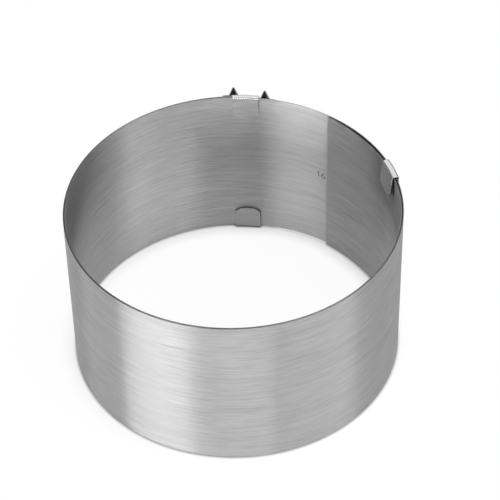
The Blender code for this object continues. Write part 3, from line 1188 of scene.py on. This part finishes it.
@dataclass
class Studio:
    """The pale floor, the soft lamps, the world and the camera."""

    plan: RingPlan
    floor_colour: str = "#F4F4F4"
    floor_size: float = 14.0
    floor_roughness: float = 0.9
    tooth_width: float = 2.0 * MM
    tooth_depth: float = 0.02 * MM
    tooth_strength: float = 0.1
    paper_share: float = 0.94
    # Reaches and strength of the painted shade round the ring's foot.
    contact_reach: float = 9.0 * MM
    crevice_reach: float = 1.5 * MM
    crevice_depth: float = 2.0
    backdrop_colour: str = "#FAFAFA"
    backdrop_top: float = math.radians(7.0)
    backdrop_fade: float = math.radians(3.0)
    focal_length: float = 153.7
    sensor_width: float = 36.0
    nearest: float = 0.01
    elevation: float = math.radians(44.686)
    distance: float = 1.05033
    roll: float = math.radians(1.6433)
    pan: float = math.radians(0.4074)
    tilt: float = math.radians(0.5752)

    def seen(self, tree: NodeTree) -> NodeSocket:
        """Give 1 where the eye sees a thing, straight, in metal or through glass, and else 0.

        Args:
            tree: Tree that needs the value.

        Returns:
            The value.
        """
        rays = add_node(tree, "ShaderNodeLightPath")
        seen = rays["Is Camera Ray"]
        for ray in ("Is Glossy Ray", "Is Transmission Ray"):
            seen = add_node(tree, "ShaderNodeMath", {"operation": "MAXIMUM"}, {
                0: seen, 1: rays[ray]})[0]
        return seen

    def add_floor(self) -> None:
        """Add the matt white floor, which glows like overexposed paper, with painted shade from
        ambient occlusion that dims its glow and darkens its colour round the ring's foot.
        """
        material, tree, shader = new_material("matt_white_board")
        place = add_node(tree, "ShaderNodeTexCoord")["Object"]
        tooth = add_node(tree, "ShaderNodeTexNoise", inputs={
            "Vector": place, "Scale": 1.0 / self.tooth_width})[0]
        relief = add_node(tree, "ShaderNodeBump", inputs={
            "Height": tooth, "Strength": self.tooth_strength, "Distance": self.tooth_depth})[0]
        # Ambient occlusion for painted shade: a wide reach round the ring's foot, and a narrow one
        # in the crevice under its edge.
        painted_contact_shade, crevice_occlusion = (
            add_node(tree, "ShaderNodeAmbientOcclusion", inputs={"Distance": reach})["AO"]
            for reach in (self.contact_reach, self.crevice_reach))
        painted_crevice_shade = add_node(tree, "ShaderNodeMath", {"operation": "POWER"}, {
            0: crevice_occlusion, 1: self.crevice_depth})[0]
        # Painted shade: the paper's glow is held back near the ring by the occlusion.
        share = self.paper_share
        for shade in (self.seen(tree), painted_contact_shade, painted_crevice_shade):
            share = add_node(tree, "ShaderNodeMath", {"operation": "MULTIPLY"}, {
                0: share, 1: shade})[0]
        # Painted shade: the floor's colour darkens towards black in the crevice at the ring's foot.
        colour = add_node(tree, "ShaderNodeMix", {"data_type": "RGBA"}, {
            0: painted_crevice_shade, 6: linear_colour("#000000"), 7: linear_colour(self.floor_colour)})[2]
        feed(shader, {"Base Color": colour, "Normal": relief, "Roughness": self.floor_roughness,
                      "Specular IOR Level": 0.0})
        paper = add_node(tree, "ShaderNodeEmission", inputs={
            "Color": linear_colour("#FFFFFF"), "Strength": 1.0})[0]
        both = add_node(tree, "ShaderNodeMixShader", inputs={
            0: share, 1: shader.outputs[0], 2: paper})[0]
        feed(tree.nodes["Material Output"], {"Surface": both})
        half = self.floor_size / 2.0
        mesh = bpy.data.meshes.new("studio_floor")
        mesh.from_pydata([(-half, -half, 0.0), (half, -half, 0.0), (half, half, 0.0),
                          (-half, half, 0.0)], [], [(0, 1, 2, 3)])
        mesh.materials.append(material)
        add_object("studio_floor", mesh)

    def add_world(self) -> None:
        """Add a low pale backdrop all round, seen but lighting nothing, under a dark ceiling."""
        world = bpy.data.worlds.new("studio_air")
        world.use_nodes = True
        tree = world.node_tree
        towards = add_node(tree, "ShaderNodeTexCoord")["Generated"]
        height = add_node(tree, "ShaderNodeSeparateXYZ", inputs={"Vector": towards})["Z"]
        paper = add_node(tree, "ShaderNodeMapRange", inputs={
            "Value": height, "From Min": math.sin(self.backdrop_top + self.backdrop_fade),
            "From Max": math.sin(self.backdrop_top)})[0]
        level = add_node(tree, "ShaderNodeMath", {"operation": "MULTIPLY"}, {
            0: paper, 1: self.seen(tree)})[0]
        feed(tree.nodes["Background"], {
            "Color": linear_colour(self.backdrop_colour), "Strength": level})
        bpy.context.scene.world = world

    def add_lamps(self) -> None:
        """Add the soft lamps round the ring."""
        aim = self.plan.axis + Vector((0.0, 0.0, self.plan.band_height / 2.0))
        for name, *sizes in (
            ("key_softbox", 227.0, 36.0, 1.4, 0.86, 0.62, 5.3),
            ("low_key_softbox", 229.0, 6.5, 1.4, 1.04, 0.32, 8.8),
            ("low_front_softbox", 184.0, 6.5, 1.4, 1.26, 0.32, 6.1),
            ("front_softbox", 176.0, 36.0, 1.4, 0.6, 0.62, 1.1),
            ("fill_softbox", 130.0, 36.0, 1.4, 1.2, 0.62, 4.6),
            ("side_softbox", 62.0, 62.0, 1.4, 0.8, 0.62, 5.4),
            ("left_softbox", 322.0, 36.0, 1.4, 0.5, 0.62, 1.0),
            ("far_left_softbox", 268.0, 14.0, 1.4, 0.75, 0.6, 1.5),
            ("top_softbox", 0.0, 72.0, 1.5, 0.8, 2.6, 1.5),
        ):
            Softbox(name, *sizes).build(aim)

    def add_camera(self) -> None:
        """Add the camera where the photograph was taken from."""
        lens = bpy.data.cameras.new("photo_camera")
        lens.lens = self.focal_length
        lens.sensor_width = self.sensor_width
        lens.clip_start = self.nearest
        middle = self.plan.axis.copy()
        middle.z += (self.plan.band_bottom + self.plan.band_top) / 2.0
        away = Vector((0.0, -math.cos(self.elevation), math.sin(self.elevation)))
        right = Vector((1.0, 0.0, 0.0))
        view = Matrix((right, away.cross(right), -away))
        for axis, angle in (("Y", -self.pan), ("X", self.tilt), ("Z", self.roll)):
            view = Matrix.Rotation(angle, 3, axis) @ view
        turn = Matrix((view[0], view[1], -view[2])).transposed().to_4x4()
        holder = add_object("photo_camera", lens)
        holder.matrix_world = Matrix.Translation(middle + away * self.distance) @ turn
        bpy.context.scene.camera = holder

    def build(self) -> None:
        """Set up the whole studio."""
        self.add_floor()
        self.add_world()
        self.add_lamps()
        self.add_camera()
        bpy.context.scene.view_settings.view_transform = "Standard"


@dataclass
class CakeRing:
    """The whole ring: strip, scale, two clips and two grips."""

    plan: RingPlan
    guide_lean: float = math.radians(6.0)
    end_lean: float = math.radians(0.6)

    def build(self) -> list[Object]:
        """Make every piece.

        Returns:
            The pieces, in the order that they were made.
        """
        plan = self.plan
        strip = Strip(plan, BrushedSteel("brushed_stainless_strip"), CutEdge())
        pieces = strip.build()
        pieces += ScaleMarks(strip, EtchedMark()).build()
        clip = Clip(plan, BrushedSteel("bent_brushed_stainless_clip").build(), DrawnBend().build())
        end_middle = plan.end_turn - plan.clip_width / 2.0 / plan.outer_face_at_end
        inner_face = plan.band_radius(plan.end_turn - FULL_TURN) - plan.band_sheet / 2.0
        landing = (plan.outer_grip_setback + plan.grip_width / 2.0 + plan.grip_foot
                   + plan.landing_margin - plan.clip_width)
        last_body = f"stave_{plan.stave_count:02d}"
        pieces.append(clip.build("end_clip", end_middle, inner_face - plan.slide_gap,
                                 plan.outer_face_at_end + plan.seat_gap, landing, self.end_lean,
                                 last_body))
        guide_inner = plan.band_radius(plan.guide_bow_turn) - plan.band_sheet / 2.0
        guide_outer = plan.band_radius(plan.guide_turn + FULL_TURN) + plan.band_sheet / 2.0
        pieces.append(clip.build("guide_clip", plan.guide_turn, guide_inner - plan.seat_gap,
                                 guide_outer + plan.slide_gap, 0.0, self.guide_lean,
                                 plan.stave_at(plan.guide_turn)))
        grip = Grip(plan, BrushedSteel("folded_brushed_stainless_grip").build())
        outer_turn = plan.end_turn - plan.outer_grip_setback / plan.outer_grip_seat
        pieces.append(grip.build("outer_grip", outer_turn, plan.outer_grip_seat,
                                 FootSide.ANTICLOCKWISE, last_body))
        pieces.append(grip.build("inner_grip", plan.inner_grip_turn, plan.inner_grip_seat,
                                 FootSide.CLOCKWISE, plan.stave_at(plan.inner_grip_turn)))
        return pieces


def main() -> None:
    """Build the ring and its studio, and report each piece."""
    logging.basicConfig(level=logging.INFO, format="%(message)s")
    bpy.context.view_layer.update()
    plan = RingPlan()
    Studio(plan).build()
    for piece in CakeRing(plan).build():
        LOG.info("%s: %d faces", piece.name, len(piece.data.polygons))


if __name__ == "__main__":
    main()
